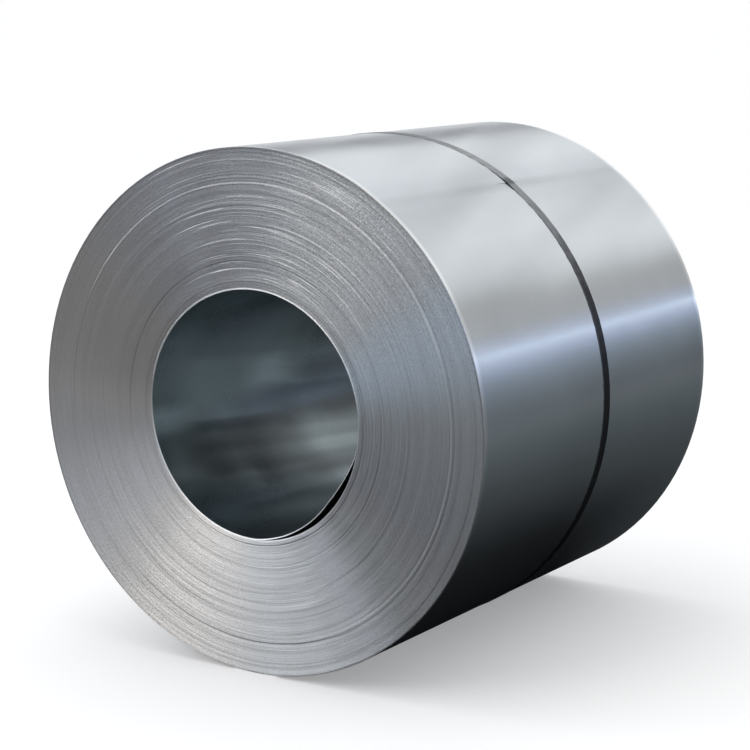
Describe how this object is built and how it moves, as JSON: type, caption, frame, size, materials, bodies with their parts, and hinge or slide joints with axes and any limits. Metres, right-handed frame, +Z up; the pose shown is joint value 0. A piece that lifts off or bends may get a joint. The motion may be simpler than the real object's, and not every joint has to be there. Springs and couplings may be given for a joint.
{
  "type": "steel coil",
  "caption": "Coil of plain steel strip lying on its side, with a round bore, wound turns showing on both ends and a steel strap around its middle.",
  "frame": {"origin": "on the floor, below the middle of the whole object's bounding box", "axes": "+Y along the coil's axis, away from the end whose innermost turns stand proud; +Z up; +X to the right when looking along +Y"},
  "size_m": [1.0798, 1.003, 1.0808],
  "materials": {
    "strip_steel": "smooth cold-rolled strip, oiled sheen, sheared turn edges on the ends",
    "strap_steel": "blue-black strapping enamel, worn at the edges",
    "seal_steel": "dull grey seal sheet"
  },
  "bodies": {
    "root": {"coil": "strip_steel", "strap": "strap_steel", "strap_seal": "seal_steel"}
  },
  "joints": []
}
